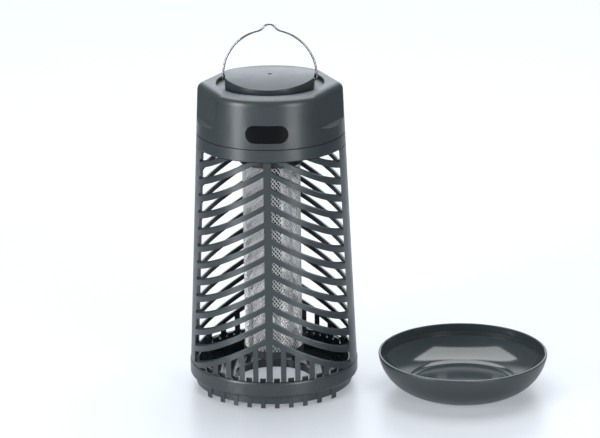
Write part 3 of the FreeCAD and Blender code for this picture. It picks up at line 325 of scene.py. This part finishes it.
def glass_tube(name):
    """Filter glass of a black-light tube: nearly black, slightly violet."""
    surface = Surface(name)
    surface.colour(surface.noise(90.0), (0.030, 0.026, 0.050), (0.040, 0.034, 0.064))
    surface.roughness(surface.noise(300.0), 0.08, 0.16)
    surface.set(Transmission_Weight=0.10, IOR=1.47)
    return surface.material


POLISHED = 0.12


def distance_from(surface, centre, scale):
    """Distance of a surface point from a centre, with each axis scaled."""
    offset = surface.add("ShaderNodeVectorMath", operation="SUBTRACT")
    offset.inputs[1].default_value = centre
    scaled = surface.add("ShaderNodeVectorMath", operation="MULTIPLY")
    scaled.inputs[1].default_value = scale
    length = surface.add("ShaderNodeVectorMath", operation="LENGTH")
    surface.link(surface.coordinates, offset.inputs[0])
    surface.link(offset.outputs[0], scaled.inputs[0])
    surface.link(scaled.outputs[0], length.inputs[0])
    return length.outputs["Value"]


FUNNEL_RADIUS = 0.0675
FUNNEL_TOP = 0.025


def in_funnel(surface):
    """1 on the polished funnel floor inside the base ring."""
    radius = distance_from(surface, (0.0, 0.0, 0.0), (1.0, 1.0, 0.0))
    height = distance_from(surface, (0.0, 0.0, 0.0), (0.0, 0.0, 1.0))
    inside = calculate(surface.tree, "LESS_THAN", radius, FUNNEL_RADIUS)
    below = calculate(surface.tree, "LESS_THAN", height, FUNNEL_TOP)
    return calculate(surface.tree, "MULTIPLY", inside, below)


# The dish's outside is an arc swung round the axis: its centre's radius and height, and
# a distance from that centre just short of the skin.
DISH_ARC_RADIUS = 0.0356
DISH_ARC_HEIGHT = 0.0381
DISH_SKIN = 0.0388


def in_dish(surface):
    """1 on the polished inside of the catch dish, 0 on its rounded outer skin."""
    low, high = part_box("collection_tray")
    centre = ((low[0] + high[0]) / 2, (low[1] + high[1]) / 2, 0.0)
    radius = distance_from(surface, centre, (1.0, 1.0, 0.0))
    height = distance_from(surface, (0.0, 0.0, DISH_ARC_HEIGHT), (0.0, 0.0, 1.0))
    outward = calculate(surface.tree, "SUBTRACT", radius, DISH_ARC_RADIUS)
    beyond = calculate(surface.tree, "MAXIMUM", outward, 0.0)
    across = calculate(surface.tree, "POWER", beyond, 2.0)
    upward = calculate(surface.tree, "POWER", height, 2.0)
    total = calculate(surface.tree, "ADD", across, upward)
    distance = calculate(surface.tree, "SQRT", total, 0.0)
    return calculate(surface.tree, "LESS_THAN", distance, DISH_SKIN)


SLATE = (0.034, 0.044, 0.048)
HOUSING_GLOSS = 0.34


def dress():
    """One material for each slot of the record, and partly polished ones for base ring and dish."""
    finishes = {
        "housing": moulded("slate_plastic", SLATE, HOUSING_GLOSS),
        "window": moulded("smoked_acrylic", (0.0035, 0.0037, 0.0045), 0.30, 0.0, specular=0.12),
        "wire": drawn_metal("drawn_steel", (0.30, 0.30, 0.30), 0.25, (1.0, 1.0, 0.06)),
        "mesh": zinc_mesh("expanded_steel"),
        "insulator": moulded("black_insulator", (0.016, 0.018, 0.020), 0.42),
        "spacer": moulded("grey_spacer", (0.060, 0.070, 0.074), 0.40),
        "lamp": glass_tube("lamp_glass"),
        "diode": moulded("diode_package", (0.75, 0.74, 0.60), 0.30, 0.00001, 0.15),
        "board": moulded("solder_mask", (0.015, 0.085, 0.035), 0.34, 0.00001, 0.25),
        "cell": moulded("cell_sleeve", (0.03, 0.12, 0.30), 0.28, 0.00001, 0.12),
        "potting": moulded("potting_resin", (0.010, 0.010, 0.011), 0.22, 0.00003, 0.2),
        "screw": drawn_metal("zinc_screw", (0.55, 0.55, 0.52), 0.30),
        "rubber": moulded("soft_rubber", (0.014, 0.015, 0.016), 0.70, 0.00004, 0.15, specular=0.3),
        "lead": moulded("lead_sleeve", (0.30, 0.02, 0.02), 0.40, 0.00001, 0.12),
        "socket": drawn_metal("plated_socket", (0.66, 0.66, 0.65), 0.25),
    }
    for part in frame["record"]["subparts"]:
        for place in nodes[part["node"]].material_slots:
            place.material = finishes[part["material_slot"]]
    for node, polished in (("base_ring", in_funnel), ("collection_tray", in_dish)):
        for place in nodes[node].material_slots:
            place.material = moulded(f"slate_{node}", SLATE, HOUSING_GLOSS, polished=polished)
    return finishes


# ---------------------------------------------------------------- electrodes

SLEEVE_WALL = 0.0006
DIAMOND_WIDTH = 0.0032
DIAMOND_HEIGHT = 0.0040
STRAND = 0.0008


def add_piece(name, mesh, body):
    piece = bpy.data.objects.new(name, mesh)
    scene.collection.objects.link(piece)
    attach(piece, body)
    return piece


def expanded_sleeve(name, node, material):
    """Diamond mesh rolled into a tube, on the middle of the CAD sleeve's wall."""
    low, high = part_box(node)
    radius = (high[0] - low[0]) / 2 - SLEEVE_WALL / 2
    around = round(2 * math.pi * radius / DIAMOND_WIDTH)
    rows = round((high[2] - low[2]) / (DIAMOND_HEIGHT / 2))
    step = (high[2] - low[2]) / rows
    corners = []
    for row in range(rows + 1):
        for column in range(around):
            turn = 2 * math.pi * (column + 0.5 * (row % 2)) / around
            corners.append((radius * math.cos(turn), radius * math.sin(turn), low[2] + row * step))
    faces = []
    for row in range(rows - 1):
        for column in range(around):
            shift = row % 2
            left = (row + 1) * around + (column - 1 + shift) % around
            right = (row + 1) * around + (column + shift) % around
            faces.append((row * around + column, right, (row + 2) * around + column, left))
    mesh = bpy.data.meshes.new(name)
    mesh.from_pydata(corners, [], faces)
    mesh.materials.append(material)
    piece = add_piece(name, mesh, "unit")
    wire = piece.modifiers.new("strands", "WIREFRAME")
    wire.thickness = STRAND
    wire.use_replace = True
    wire.use_even_offset = False
    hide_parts(node)
    return piece


# ---------------------------------------------------------------- build

make_camera()
make_world()
make_floor()
for box in SOFT_BOXES:
    add_area(*box)
finishes = dress()
expanded_sleeve("outer_mesh", "outer_grid", finishes["mesh"])
expanded_sleeve("inner_mesh", "inner_grid", finishes["mesh"])
